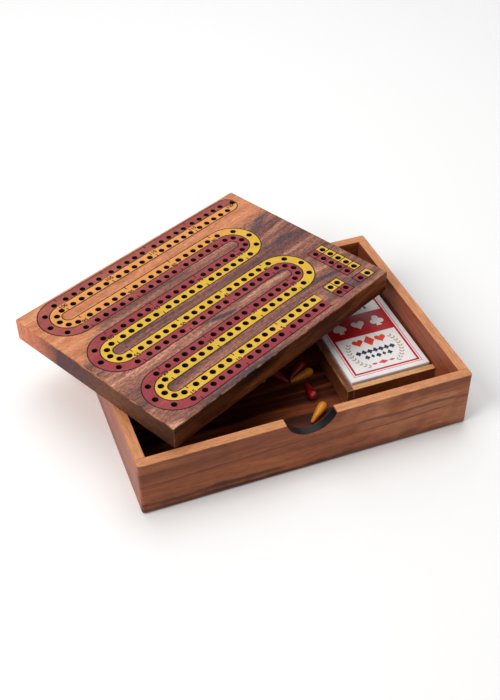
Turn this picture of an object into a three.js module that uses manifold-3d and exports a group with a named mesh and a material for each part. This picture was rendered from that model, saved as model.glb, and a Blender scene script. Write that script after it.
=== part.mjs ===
// Cribbage set: a shallow open wooden box, the drilled cribbage board that is its lift-off lid, six pegs,
// and a carton of playing cards lying in a well of low strips.
// Millimetres, +Z up. The origin is the middle of the box's underside. +X runs to the right along the long
// side, and +Y runs to the back, away from the finger notch. The lid lies askew on the left and back rims.
import * as THREE from "three";
import { mergeGeometries, mergeVertices } from "three/addons/utils/BufferGeometryUtils.js";
import Module from "manifold-3d";

const wasm = await Module();
wasm.setup();

// ---------- driving dimensions ----------
const GAP = 0.3; // clearance between pieces that touch but are not glued

const BOX = { length: 250, width: 185, height: 48, wall: 7.5, floor: 8 };
const BOX_ROUNDING = { corner: 2.2, edge: 2, segments: 4 }; // outer upright corners and lower edges
const NOTCH = { radius: 19.7, centreHeight: 53.4, segments: 56 }; // round cut in the front wall's rim

const WELL = { left: 45, front: -55, back: 47, strip: 5, top: 25 }; // outer faces and height of the strips
const REST_BLOCK = 15; // side of the corner block

const BOARD = { length: 231, width: 168, thickness: 18 };
const BOARD_PLACE = { x: -31, y: 41.4, turn: 26.54 }; // centre and yaw of the lid as it lies askew
const HOLE = { radius: 2.35, depth: 10, sides: 6 };

// Hole layout. x is measured from the board's left short edge, y from its far long edge.
const RUNS = { count: 6, first: 13, pitch: 27.85 }; // centrelines of the straight runs
const LANE = 4.4; // from a run's centreline to each of its two rows of holes
const GROUP = { starts: [41.2, 86.8, 132.5, 175.6], holes: 5, spacing: 8.25 }; // the last is on run one only
const BEND = { left: 30, right: 176.6, holes: 5, step: 45 }; // centres of the half-round ends, and degrees
const FINISH_HOLE = [220.2, 11.9];
const GAMES = { columns: [211, 219.2], first: 112, spacing: 8, rows: 5, match: 157.1 };
const START = { columns: [186.2, 194], rows: [147.6, 156.2] };

const PEG = { length: 20.5, head: 3.75, tip: 1, sides: 12 };
// Where each peg lies: its tip on the floor, and the heading from tip to head in degrees from +X.
const PEGS = [
  { name: "red_peg_1", colour: "pegRed", tip: [14.2, -13.2], heading: 126 },
  { name: "red_peg_2", colour: "pegRed", tip: [17.2, -11.2], heading: 34 },
  { name: "red_peg_3", colour: "pegRed", tip: [26.7, -21.3], heading: -95 },
  { name: "yellow_peg_1", colour: "pegYellow", tip: [16.9, -14.3], heading: 8 },
  { name: "yellow_peg_2", colour: "pegYellow", tip: [15.1, -59.7], heading: 38 },
  { name: "yellow_peg_3", colour: "pegYellow", tip: [-2, -6], heading: 160 },
];

const CARTON = { width: 65, length: 90.5, height: 18.7, board: 0.6, left: 50.6, front: -49.2 };
const DECK = { width: 63, length: 88, height: 16 };
const TONGUE = 14; // length of the flap's tucked tongue

const FINISH = {
  wallWood: { color: 0x8a5336, roughness: 0.55 },
  panelWood: { color: 0x4a2a1a, roughness: 0.6 },
  stripWood: { color: 0x7a4a30, roughness: 0.6 },
  boardWood: { color: 0x8d5f45, roughness: 0.5 },
  carton: { color: 0xe9e4e0, roughness: 0.3 },
  cards: { color: 0xf4f1ea, roughness: 0.6 },
  pegRed: { color: 0x8c0f14, roughness: 0.2 },
  pegYellow: { color: 0xd08a1c, roughness: 0.2 },
};

// ---------- helpers ----------
const radians = THREE.MathUtils.degToRad;

// A closed geometry as a solid that can be joined and cut.
function solidOf(geometry) {
  const bare = geometry.clone();
  bare.deleteAttribute("normal");
  bare.deleteAttribute("uv");
  const merged = mergeVertices(bare);
  const vertProperties = merged.attributes.position.array;
  const triVerts = new Uint32Array(merged.index.array);
  return new wasm.Manifold(new wasm.Mesh({ numProp: 3, vertProperties, triVerts }));
}

function geometryOf(solid) {
  const { vertProperties, triVerts } = solid.getMesh();
  const geometry = new THREE.BufferGeometry();
  geometry.setAttribute("position", new THREE.BufferAttribute(vertProperties, 3));
  geometry.setIndex(new THREE.BufferAttribute(triVerts, 1));
  geometry.computeVertexNormals();
  return geometry;
}

function boxBetween([x0, y0, z0], [x1, y1, z1]) {
  const box = new THREE.BoxGeometry(x1 - x0, y1 - y0, z1 - z0);
  return box.translate((x0 + x1) / 2, (y0 + y1) / 2, (z0 + z1) / 2);
}

function roundedRectangle(length, width, radius) {
  const shape = new THREE.Shape();
  const corners = [[1, -1], [1, 1], [-1, 1], [-1, -1]];
  corners.forEach(([sideX, sideY], i) => {
    const x = sideX * (length / 2 - radius);
    const y = sideY * (width / 2 - radius);
    shape.absarc(x, y, radius, radians(90 * (i - 1)), radians(90 * i), false);
  });
  return shape;
}

function piece(name, geometry, finish) {
  const mesh = new THREE.Mesh(geometry, new THREE.MeshStandardMaterial(FINISH[finish]));
  mesh.name = name;
  return mesh;
}

// ---------- box ----------
const HALF_LENGTH = BOX.length / 2;
const HALF_WIDTH = BOX.width / 2;
const INNER_X = HALF_LENGTH - BOX.wall;
const INNER_Y = HALF_WIDTH - BOX.wall;

// The box's outer form: upright corners and lower edges are rounded, and it stands higher than the rim.
function outerForm() {
  const outline = roundedRectangle(BOX.length, BOX.width, BOX_ROUNDING.corner);
  const form = new THREE.ExtrudeGeometry(outline, {
    depth: BOX.height,
    curveSegments: BOX_ROUNDING.segments,
    bevelThickness: BOX_ROUNDING.edge,
    bevelSize: BOX_ROUNDING.edge,
    bevelOffset: -BOX_ROUNDING.edge,
    bevelSegments: BOX_ROUNDING.segments,
  });
  return solidOf(form.translate(0, 0, BOX_ROUNDING.edge));
}

// The finger notch: a level cylinder from front to back through the middle of the rim.
function notchCutter() {
  const length = 3 * BOX.wall; // more than goes through the wall
  const cutter = new THREE.CylinderGeometry(NOTCH.radius, NOTCH.radius, length, NOTCH.segments);
  return solidOf(cutter.translate(0, -HALF_WIDTH, NOTCH.centreHeight));
}

function boxPieces() {
  const form = outerForm();
  const wall = (low, high) => solidOf(boxBetween(low, high)).intersect(form);
  const long = (y) => wall([-HALF_LENGTH, y, 0], [HALF_LENGTH, y + BOX.wall, BOX.height]);
  const short = (x) => wall([x, -INNER_Y, 0], [x + BOX.wall, INNER_Y, BOX.height]);
  const panel = boxBetween([-INNER_X, -INNER_Y, 0], [INNER_X, INNER_Y, BOX.floor]);
  return [
    piece("front_wall", geometryOf(long(-HALF_WIDTH).subtract(notchCutter())), "wallWood"),
    piece("back_wall", geometryOf(long(INNER_Y)), "wallWood"),
    piece("left_wall", geometryOf(short(-HALF_LENGTH)), "wallWood"),
    piece("right_wall", geometryOf(short(INNER_X)), "wallWood"),
    piece("base_panel", panel, "panelWood"),
  ];
}

// Low strips glued to the floor. With the right wall they make the well for the cards.
function wellPieces() {
  const strip = (x0, y0, x1, y1) => boxBetween([x0, y0, BOX.floor], [x1, y1, WELL.top]);
  const inside = WELL.left + WELL.strip;
  const left = strip(WELL.left, WELL.front, inside, WELL.back);
  const front = strip(inside, WELL.front, INNER_X, WELL.front + WELL.strip);
  const back = strip(inside, WELL.back - WELL.strip, INNER_X, WELL.back);
  const block = strip(-INNER_X, INNER_Y - REST_BLOCK, -INNER_X + REST_BLOCK, INNER_Y);
  return [
    piece("well_left_strip", left, "stripWood"),
    piece("well_front_strip", front, "stripWood"),
    piece("well_back_strip", back, "stripWood"),
    piece("lid_rest_block", block, "stripWood"),
  ];
}

// ---------- board ----------
const runCentre = (run) => RUNS.first + RUNS.pitch * run;

// The places of all peg holes, as [from the left short edge, from the far long edge].
function holePlaces() {
  const places = [FINISH_HOLE];
  const sides = [-1, 1];

  for (let run = 0; run < RUNS.count; run++) {
    const starts = run === 0 ? GROUP.starts : GROUP.starts.slice(0, -1);
    for (const start of starts) {
      for (let hole = 0; hole < GROUP.holes; hole++) {
        const x = start + GROUP.spacing * hole;
        sides.forEach((side) => places.push([x, runCentre(run) + side * LANE]));
      }
    }
  }

  for (let bend = 0; bend < RUNS.count - 1; bend++) {
    const atLeft = bend % 2 === 0;
    const centreX = atLeft ? BEND.left : BEND.right;
    const centreY = runCentre(bend + 0.5);
    for (let hole = 0; hole < BEND.holes; hole++) {
      const angle = radians(-90 + BEND.step * hole);
      for (const side of sides) {
        const radius = RUNS.pitch / 2 + side * LANE;
        const outward = radius * Math.cos(angle) * (atLeft ? -1 : 1);
        places.push([centreX + outward, centreY + radius * Math.sin(angle)]);
      }
    }
  }

  for (const x of GAMES.columns) {
    for (let row = 0; row < GAMES.rows; row++) places.push([x, GAMES.first + GAMES.spacing * row]);
    places.push([x, GAMES.match]);
  }
  for (const x of START.columns) START.rows.forEach((y) => places.push([x, y]));
  return places;
}

// The lid: a solid slab with blind holes in its top face.
function boardPiece() {
  const { length, width, thickness } = BOARD;
  const slab = boxBetween([-length / 2, -width / 2, 0], [length / 2, width / 2, thickness]);
  const drill = new THREE.CylinderGeometry(HOLE.radius, HOLE.radius, 2 * HOLE.depth, HOLE.sides);
  drill.rotateX(Math.PI / 2);
  const drills = holePlaces().map(([x, y]) =>
    drill.clone().translate(x - length / 2, width / 2 - y, thickness),
  );
  const drilled = solidOf(slab).subtract(solidOf(mergeGeometries(drills)));
  const board = piece("cribbage_board", geometryOf(drilled), "boardWood");
  board.position.set(BOARD_PLACE.x, BOARD_PLACE.y, BOX.height + GAP);
  board.rotation.z = radians(BOARD_PLACE.turn);
  return board;
}

// ---------- card pack ----------
function packPieces() {
  const { width, length, height, board } = CARTON;
  const thick = board + GAP;
  const past = length + board; // the hollow runs out through the far end
  const outer = boxBetween([0, 0, 0], [width, length, height]);
  const hollow = boxBetween([board, board, board], [width - board, past, height - board]);
  const shell = geometryOf(solidOf(outer).subtract(solidOf(hollow)));

  // The flap closes the far end, and its tongue is tucked in under the upper face.
  const end = boxBetween([thick, length - board, thick], [width - thick, length, height - thick]);
  const tongueLow = [thick, length - TONGUE, height - thick - board];
  const tongue = boxBetween(tongueLow, [width - thick, length - board / 2, height - thick]);
  const flap = geometryOf(solidOf(end).add(solidOf(tongue)));

  const side = (width - DECK.width) / 2;
  const low = [side, thick, thick];
  const deck = boxBetween(low, [side + DECK.width, thick + DECK.length, thick + DECK.height]);

  const pack = new THREE.Group();
  pack.position.set(CARTON.left, CARTON.front, BOX.floor + GAP);
  pack.add(piece("card_carton", shell, "carton"));
  pack.add(piece("carton_flap", flap, "carton"));
  pack.add(piece("card_deck", deck, "cards"));
  return pack;
}

// ---------- pegs ----------
// A teardrop: a small ball at the tip and a large one at the head, joined by the cone that touches both.
const BALL_SPACING = PEG.length - PEG.head - PEG.tip;
const CONE_ANGLE = Math.asin((PEG.head - PEG.tip) / BALL_SPACING);

function pegGeometry() {
  const profile = [];
  const arc = (radius, centre, from, to, steps) => {
    for (let i = 0; i <= steps; i++) {
      const angle = from + ((to - from) * i) / steps;
      const onAxis = Math.abs(Math.abs(angle) - Math.PI / 2) < 1e-6;
      const x = onAxis ? 0 : radius * Math.cos(angle);
      profile.push(new THREE.Vector2(x, centre + radius * Math.sin(angle)));
    }
  };
  arc(PEG.tip, PEG.tip, -Math.PI / 2, -CONE_ANGLE, 2);
  arc(PEG.head, PEG.tip + BALL_SPACING, -CONE_ANGLE, Math.PI / 2, 6);
  return new THREE.LatheGeometry(profile, PEG.sides);
}

// A peg lies on the floor on both balls, so its axis rises a little from tip to head.
function pegPieces() {
  const upright = new THREE.Vector3(0, 1, 0);
  const geometry = pegGeometry();
  return PEGS.map(({ name, colour, tip, heading }) => {
    const along = new THREE.Vector3(Math.cos(CONE_ANGLE), 0, Math.sin(CONE_ANGLE));
    along.applyAxisAngle(new THREE.Vector3(0, 0, 1), radians(heading));
    const peg = piece(name, geometry, colour);
    peg.quaternion.setFromUnitVectors(upright, along);
    peg.position.set(tip[0], tip[1], BOX.floor + GAP + PEG.tip).addScaledVector(along, -PEG.tip);
    return peg;
  });
}

// ---------- the whole set ----------
const set = new THREE.Group();
set.name = "cribbage_set";
set.add(...boxPieces(), ...wellPieces(), boardPiece(), packPieces(), ...pegPieces());

export default set;
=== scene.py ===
"""The looks of a cribbage set: an open box, its board lying askew as the lid, six pegs and a card carton.

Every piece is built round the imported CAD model, in metres, and rides on one of its bodies. Lengths in the
constants below are millimetres. On the board, x is measured from the left short edge and y from the far
long edge, as the track is laid out.
"""
import math

import bmesh
import bpy
import numpy as np
from mathutils import Matrix, Vector
from mathutils.geometry import delaunay_2d_cdt


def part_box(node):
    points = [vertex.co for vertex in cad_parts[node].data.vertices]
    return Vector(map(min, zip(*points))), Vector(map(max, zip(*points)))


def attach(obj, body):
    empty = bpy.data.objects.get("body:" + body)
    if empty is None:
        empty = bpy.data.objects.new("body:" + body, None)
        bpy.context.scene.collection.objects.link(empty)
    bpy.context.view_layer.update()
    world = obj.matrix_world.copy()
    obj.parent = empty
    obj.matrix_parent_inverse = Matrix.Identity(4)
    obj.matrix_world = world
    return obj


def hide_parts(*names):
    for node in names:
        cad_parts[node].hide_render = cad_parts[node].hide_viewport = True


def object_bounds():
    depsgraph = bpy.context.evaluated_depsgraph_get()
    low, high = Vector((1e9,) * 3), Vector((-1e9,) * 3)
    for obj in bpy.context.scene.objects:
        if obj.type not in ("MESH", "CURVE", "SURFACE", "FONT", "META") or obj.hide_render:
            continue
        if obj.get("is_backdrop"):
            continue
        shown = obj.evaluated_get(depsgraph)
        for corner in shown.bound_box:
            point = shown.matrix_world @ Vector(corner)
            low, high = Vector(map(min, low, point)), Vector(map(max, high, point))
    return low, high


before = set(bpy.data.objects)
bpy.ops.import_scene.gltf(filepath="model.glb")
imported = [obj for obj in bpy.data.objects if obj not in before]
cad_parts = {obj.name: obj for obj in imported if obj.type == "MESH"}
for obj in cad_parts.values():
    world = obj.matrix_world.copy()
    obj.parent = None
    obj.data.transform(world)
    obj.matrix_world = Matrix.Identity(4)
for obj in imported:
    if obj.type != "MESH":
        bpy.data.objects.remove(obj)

CAD_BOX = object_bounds()
MM = 0.001
# Kinds of result asked of delaunay_2d_cdt: what the loops cover, and the same with inner loops as holes.
INSIDE = 1
INSIDE_WITH_HOLES = 2

# ---------- camera, lights and floor ----------
CAMERA_PLACE = (-216.3, -559.8, 564.7)
CAMERA_TARGET = (-5.5, 15.7, 24.0)
CAMERA_ROLL = -0.725  # degrees
CAMERA_LENS = 54.43
FLOOR_SIZE = 8000
# name, place, aim, width and height, power in watts, colour
LIGHTS = (
    ("key", (-1300, -250, 1250), (0, 0, 20), (1000, 1000), 21, (1.0, 0.985, 0.96)),
    ("top", (100, 350, 1500), (0, 20, 20), (1400, 1000), 10, (1.0, 1.0, 1.0)),
    ("back", (450, 1270, 1190), (0, 0, 20), (1800, 1200), 6, (0.96, 0.98, 1.0)),
)
WORLD_STRENGTH = 0.30

# ---------- woodwork ----------
OUTER_ROUND = 2.0  # rounding of the box's outer corners and lower edges
EASE = 0.45  # the slight rounding of every other edge
NOTCH_RADIUS = 19.7
NOTCH_CENTRE_HEIGHT = 53.4
NOTCH_STAIN = 0.15  # thickness of the dark finish on the cut

# ---------- board ----------
BOARD_CORNER = 1.2
BOARD_EDGE = 0.8
HOLE_RADIUS = 2.3
HOLE_LIP = 0.15  # chamfer round each hole's mouth
HOLE_DEPTH = 10.0
DRILL_POINT = 1.0
HOLE_SIDES = 24
CAD_HOLE_SIDES = 6
CAD_HOLE_REACH = 2.45  # more than a side of a CAD hole, and less than the wood between two holes

# The painted track: six straight runs joined by half-round bends. Its two lanes share the middle line.
PRINT_FIRST = 11.65  # middle line of the first run
PRINT_PITCH = 28.25
RUN_COUNT = 6
LANE_WIDTH = 9.1
LINE_WIDTH = 0.85  # burnt outlines
LEFT_BEND = 29.8
RIGHT_BEND = 175.7
TRACK_START = 170.7  # square end of the last run
FINISH_CENTRE = 213.4  # centre of the round end of the first run
FINISH_RING = 2.9  # radius of the burnt ring round the finish hole
FINISH_NUMERAL = FINISH_CENTRE + 1.5  # where the finish hole's number stands
ARC_STEPS = 28
TICKS = (34.5, 80.2, 126.0, 170.6)
TICK_LENGTH = 2.8
TICK_WIDTH = 0.8
NUMERAL_SIZE = 4.9
NUMERAL_WEIGHT = 0.15  # how much each stroke is thickened
GAP_STEP = 0.7  # over which a lane's inner line steps to the middle line, beside each numeral

# Cells of the game counters and the starting holes: left, top, widths of the columns, heights of the rows.
COUNTER_CELLS = (206.2, 107.3, (9.2, 8.3), (8.05,) * 5)
MATCH_CELLS = (206.2, 152.3, (9.2, 8.3), (8.7,))
START_CELLS = (182.2, 143.1, (8.0, 8.0), (9.1, 9.0))

GRID_ROUND = 0.5  # corner radius of a grid's burnt ground
CELL_ROUND = 0.3  # corner radius of its painted cells

BURNT_DEPTH = 0.10  # how far the underside of each finish lies in the wood
BURNT_HEIGHT = 0.03
PAINT_HEIGHT = 0.07
NUMERAL_HEIGHT = 0.10

# ---------- pegs and cards ----------
PEG_SEGMENTS = 40
PEG_TIP = 0.045  # part of a peg's length that its rounded tip takes
PEG_SHOULDER = 0.76  # part of its length up to its widest point
PEG_SLIM = 0.27  # part of its full radius at the tip
PEG_TAPER = 0.82  # below 1, its sides swell a little between the tip and the shoulder
PEG_STEPS = 30
CARTON_ROUND = 0.7
FOLD_STEPS = 4
CARTON_BOARD = 0.6
INK_HEIGHT = 0.03

# The carton's print, measured from its front left corner.
FRAME_INSET = 5.6
FRAME_LINE = 1.7
PALE_LINE = (1.6, 1.0)  # how far its two edges lie outside the red frame
BAND = (46.2, 71.2)  # where the broad red band starts and ends
PIP_PITCH = 4.7  # between neighbours in a row of small pips
HEART_STEPS = 36
LEAF_STEPS = 6
LEAF_PAIRS = 10
LEAF_PITCH = 9.5  # degrees from one pair to the next
FIRST_LEAF = -58  # degrees
LEAF_LEAN = 38  # degrees from the stalk


# ---------- mesh helpers ----------
def circle(x, y, radius, steps):
    turn = 2 * math.pi / steps
    return [(x + radius * math.cos(turn * i), y + radius * math.sin(turn * i)) for i in range(steps)]


def arc(x, y, radius, start, end, steps):
    """Points of an arc, with its angles in degrees."""
    angles = [math.radians(start + (end - start) * i / steps) for i in range(steps + 1)]
    return [(x + radius * math.cos(a), y + radius * math.sin(a)) for a in angles]


def rectangle(x0, y0, x1, y1):
    return [(x0, y0), (x1, y0), (x1, y1), (x0, y1)]


def rounded_rectangle(x0, y0, x1, y1, radius, steps=4):
    x0, y0, x1, y1 = x0 + radius, y0 + radius, x1 - radius, y1 - radius
    points = []
    for x, y, start in ((x1, y0, -90), (x1, y1, 0), (x0, y1, 90), (x0, y0, 180)):
        points += arc(x, y, radius, start, start + 90, steps)
    return points


def add_ring(bm, points, z):
    return [bm.verts.new((x, y, z)) for x, y in points]


def join_rings(bm, low, high):
    count = len(low)
    for i in range(count):
        j = (i + 1) % count
        bm.faces.new((low[i], low[j], high[j], high[i]))


def close_ring(bm, ring, point):
    """Joins a ring to one point."""
    for a, b in zip(ring, ring[1:] + ring[:1]):
        bm.faces.new((a, b, point))


def numbered(loops):
    """The numbers of each loop's points, where the loops' points are listed one after another."""
    numbers = iter(range(sum(len(loop) for loop in loops)))
    return [[next(numbers) for _ in loop] for loop in loops]


def fill_rings(bm, rings):
    """Fills the flat region inside the first ring and outside the others."""
    corners = [corner for ring in rings for corner in ring]
    flat = [Vector(corner.co.xy) for corner in corners]
    _, _, triangles, origins, *_ = delaunay_2d_cdt(flat, [], numbered(rings), INSIDE_WITH_HOLES, 1e-6)
    sources = [corners[origin[0]] for origin in origins]
    for triangle in triangles:
        bm.faces.new([sources[i] for i in triangle])


def add_sheet(bm, loops, low, high):
    """A flat closed sheet from low to high, with the first loop as its outline and the others as holes."""
    bottoms = [add_ring(bm, loop, low) for loop in loops]
    tops = [add_ring(bm, loop, high) for loop in loops]
    for bottom, top in zip(bottoms, tops):
        join_rings(bm, bottom, top)
    fill_rings(bm, bottoms)
    fill_rings(bm, tops)


def finished_mesh(name, bm, matrix=None, sharp=35):
    """The bmesh as a mesh in metres, smooth-shaded but for its sharp edges."""
    bmesh.ops.recalc_face_normals(bm, faces=bm.faces)
    mesh = bpy.data.meshes.new(name)
    bm.to_mesh(mesh)
    bm.free()
    if matrix is not None:
        mesh.transform(matrix)
    mesh.transform(Matrix.Scale(MM, 4))
    mesh.shade_smooth()
    mesh.set_sharp_from_angle(angle=math.radians(sharp))
    return mesh


def store_vectors(mesh, name, vectors):
    attribute = mesh.attributes.new(name, "FLOAT_VECTOR", "POINT")
    attribute.data.foreach_set("vector", np.asarray(vectors, np.float32).ravel())


def coordinates(mesh):
    flat = np.zeros(3 * len(mesh.vertices), np.float32)
    mesh.vertices.foreach_get("co", flat)
    return flat.reshape(-1, 3)


def node_points(node):
    """The corners of a CAD node, in millimetres."""
    return coordinates(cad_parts[node].data) / MM


def node_box(node):
    """The lowest and highest corners of a CAD node, in millimetres."""
    return [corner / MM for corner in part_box(node)]


def add_object(name, data):
    made = bpy.data.objects.new(name, data)
    bpy.context.scene.collection.objects.link(made)
    return made


def add_piece(name, mesh, material, body, slot, *nodes):
    """A piece that rides on a body, with its material, and may stand for CAD nodes, which it hides. Its slot
    is not used.
    """
    made = add_object(name, mesh)
    made.data.materials.append(material)
    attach(made, body)
    if nodes:
        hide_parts(*nodes)
    return made


# ---------- material helpers ----------
class Value:
    """A number that a material's nodes work out, which takes part in sums like any number."""

    def __init__(self, shader, socket):
        self.shader = shader
        self.socket = socket

    def __add__(self, other):
        return self.shader.math("ADD", self, other)

    def __sub__(self, other):
        return self.shader.math("SUBTRACT", self, other)

    def __rsub__(self, other):
        return self.shader.math("SUBTRACT", other, self)

    def __mul__(self, other):
        return self.shader.math("MULTIPLY", self, other)

    def __truediv__(self, other):
        return self.shader.math("DIVIDE", self, other)


class Shader:
    """A material with a short way to add and join its nodes."""

    def __init__(self, name):
        self.material = bpy.data.materials.new(name)
        self.material.use_nodes = True
        self.tree = self.material.node_tree
        self.surface = self.tree.nodes["Principled BSDF"]

    def add(self, kind, inputs=(), **settings):
        made = self.tree.nodes.new("ShaderNode" + kind)
        for key, value in settings.items():
            setattr(made, key, value)
        for key, value in dict(inputs).items():
            self.put(value, made.inputs[key])
        return made

    def put(self, value, socket):
        """Gives a socket a number, a colour or another node's output."""
        if isinstance(value, Value):
            value = value.socket
        if isinstance(value, bpy.types.NodeSocket):
            self.tree.links.new(value, socket)
        else:
            socket.default_value = value

    def math(self, operation, a, b):
        return Value(self, self.add("Math", {0: a, 1: b}, operation=operation).outputs[0])

    def vector(self, attribute):
        """One of the places stored on the mesh."""
        return self.add("Attribute", attribute_name=attribute).outputs["Vector"]

    def parts(self, vector):
        return [Value(self, output) for output in self.add("SeparateXYZ", {0: vector}).outputs]

    def vector_math(self, operation, a, *b):
        return self.add("VectorMath", dict(enumerate((a, *b))), operation=operation).outputs[0]

    def scaled(self, vector, factors):
        return self.vector_math("MULTIPLY", vector, factors)

    def shifted(self, vector, offset):
        return self.vector_math("ADD", vector, offset)

    def noise(self, vector, scale, detail=3.0, roughness=0.55, coloured=False):
        """Noise with one scale, or with a scale for each axis."""
        if isinstance(scale, tuple):
            vector, scale = self.scaled(vector, scale), 1.0
        inputs = {"Vector": vector, "Scale": scale, "Detail": detail, "Roughness": roughness}
        made = self.add("TexNoise", inputs)
        return made.outputs["Color"] if coloured else Value(self, made.outputs["Fac"])

    def span(self, value, low, high, to_low=0.0, to_high=1.0):
        """The value carried from one range to another, smoothly and held at the ends."""
        inputs = {0: value, 1: low, 2: high, 3: to_low, 4: to_high}
        return Value(self, self.add("MapRange", inputs, interpolation_type="SMOOTHSTEP").outputs[0])

    def ramp(self, value, places, tints):
        """Goes from tint to tint as value goes from place to place."""
        made = self.add("ValToRGB", {0: value})
        elements = made.color_ramp.elements
        while len(elements) < len(places):
            elements.new(0.5)
        for element, place, tint in zip(elements, places, tints):
            element.position = place
            element.color = (*tint, 1)
        return made.outputs[0]

    def mix(self, factor, a, b, blend="MIX"):
        made = self.add("Mix", data_type="RGBA", blend_type=blend)
        for value, place in ((factor, 0), (a, 6), (b, 7)):
            if isinstance(value, tuple):
                value = (*value, 1)
            self.put(value, made.inputs[place])
        return made.outputs[2]

    def set(self, **values):
        for key, value in values.items():
            if isinstance(value, tuple):
                value = (*value, 1)
            self.put(value, self.surface.inputs[key.replace("_", " ")])

    def bump(self, height, strength, distance):
        """Gives the surface a relief, whose distance is in millimetres."""
        made = self.add("Bump", {"Height": height, "Strength": strength, "Distance": distance * MM})
        self.tree.links.new(made.outputs[0], self.surface.inputs["Normal"])


def colour(red, green, blue):
    """A colour given as it looks on a screen, from 0 to 255, as the linear values that nodes use."""
    def linear(value):
        value /= 255
        return value / 12.92 if value <= 0.04045 else ((value + 0.055) / 1.055) ** 2.4
    return tuple(linear(value) for value in (red, green, blue))


def colours(*triples):
    return tuple(colour(*triple) for triple in triples)


def wood_figure(shader, cut):
    """The grain of a board, from its "grain" coordinates in centimetres: x runs along the fibres.

    cut scales the figure across the fibres, in the board's width and thickness.
    Returns the bent place, and broad streaks, fibres and pores, each from 0 to 1.
    """
    place = shader.vector("grain")
    drift = shader.noise(place, (0.08, 0.30, 0.30), 2.0, 0.5, coloured=True)
    drift = shader.scaled(shader.shifted(drift, (-0.5, -0.5, -0.5)), (0.0, 1.6, 1.6))
    bent = shader.shifted(place, drift)

    wide, deep = cut
    streaks = shader.noise(bent, (0.040, wide, deep), 6.0, 0.60)
    fibres = shader.noise(shader.scaled(bent, (0.06, 1.0, 1.0)), 9.0, 5.0, 0.72)
    hairs = shader.noise(shader.scaled(bent, (0.03, 1.0, 1.0)), 42.0, 2.0, 0.5)
    mottle = shader.noise(shader.scaled(bent, (0.8, 2.4, 2.4)), 1.3, 4.0, 0.6)
    fibres = fibres * 0.45 + hairs * 0.25 + mottle * 0.30
    pores = shader.noise(shader.scaled(place, (0.13, 1.0, 1.0)), 27.0, 1.0, 0.4)
    pores = shader.span(pores, 0.66, 0.74)
    return bent, streaks, fibres, pores


def add_streaks(shader, base, attribute, axes, streaks):
    """Lays long soft streaks over a colour.

    Each streak is (place along, place across, half length, half width, lean, strength, tint), in millimetres,
    measured on two axes of an attribute.
    """
    place = shader.vector(attribute)
    parts = shader.parts(place)
    along, across = parts[axes[0]], parts[axes[1]]
    wave = shader.noise(place, (0.012, 0.012, 0.012), 3.0, 0.6)
    ragged = shader.noise(place, (0.05, 0.05, 0.05), 4.0, 0.7)
    for x, y, half_length, half_width, lean, strength, tint in streaks:
        far = (along - x) * (1 / half_length)
        swing = 0.9 * half_width
        level = across - y - far * (lean * half_length) + shader.span(wave, 0.25, 0.75, -swing, swing)
        level = level * (1 / half_width)
        spread = far * far + level * level + shader.span(ragged, 0.3, 0.75, -0.15, 0.45)
        base = shader.mix(shader.span(spread, 1.0, 0.1, 0.0, strength), base, tint)
    return base


def insets(shader, half_size):
    """How far a point lies inside a board's faces on each axis, in millimetres."""
    place = shader.vector_math("ABSOLUTE", shader.vector("board"))
    return shader.parts(shader.vector_math("SUBTRACT", half_size, place))


def edge_wear(shader, half_size):
    """1 along the worn edges of a board, where it is close to two of its faces, and 0 away from them."""
    x, y, z = insets(shader, half_size)
    lowest = shader.math("MINIMUM", shader.math("MINIMUM", x, y), z)
    highest = shader.math("MAXIMUM", shader.math("MAXIMUM", x, y), z)
    middle = x + y + z - lowest - highest
    uneven = shader.noise(shader.vector("board"), 0.09, 5.0, 0.65)
    reach = shader.span(uneven, 0.38, 0.72, 0.15, 1.6)
    return shader.span(middle / reach, 1.0, 0.1)


def multiplied(shader, base, value):
    """A colour made darker or lighter by a number."""
    grey = shader.add("CombineColor", {0: value, 1: value, 2: value}).outputs[0]
    return shader.mix(1.0, base, grey, "MULTIPLY")


def shaded(shader, base, pattern, darkest, lightest):
    """A colour shaded by a fine pattern, from one multiple of itself to another."""
    return multiplied(shader, base, shader.span(pattern, 0.36, 0.64, darkest, lightest))


def finish_wood(shader, base, half_size, fibres, pores, deep, wear_and_highlight):
    """Adds what every board shares: fibre shading, pores, rubbed edges and an oiled surface."""
    base = shaded(shader, base, fibres, 0.70, 1.20)
    base = shader.mix(edge_wear(shader, half_size) * 0.40, base, wear_and_highlight)
    base = shader.mix(pores * 0.55, base, deep)
    shader.set(Base_Color=base, Roughness=fibres * 0.24 + 0.30, Specular_IOR_Level=0.25)
    shader.bump(fibres * 0.5 - pores, 0.30, 0.10)


def wood(name, palette, half_size, cut=(1.0, 0.35), streaks=(), axes=(0, 2), rim=None):
    """Oiled hardwood. rim is the height above the board's middle from which its top is painted paler: a
    painted highlight.
    """
    dark, middle, light, deep, wear_and_highlight = palette
    shader = Shader(name)
    bent, tone, fibres, pores = wood_figure(shader, cut)
    base = shader.ramp(tone, (0.30, 0.50, 0.72), (dark, middle, light))
    slow = shader.noise(bent, (0.05, 0.25, 0.25), 2.0, 0.5)
    base = shader.mix(shader.span(slow, 0.45, 0.72, 0.0, 0.55), base, dark)
    base = add_streaks(shader, base, "board", axes, streaks)
    # Painted highlight: from rim upwards the top is mixed towards the pale colour, as where light falls on
    # it.
    if rim is not None:
        height = shader.parts(shader.vector("board"))[2]
        base = shader.mix(shader.span(height, rim - 0.5, rim, 0.0, 0.85), base, wear_and_highlight)
    finish_wood(shader, base, half_size, fibres, pores, deep, wear_and_highlight)
    return shader.material
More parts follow.
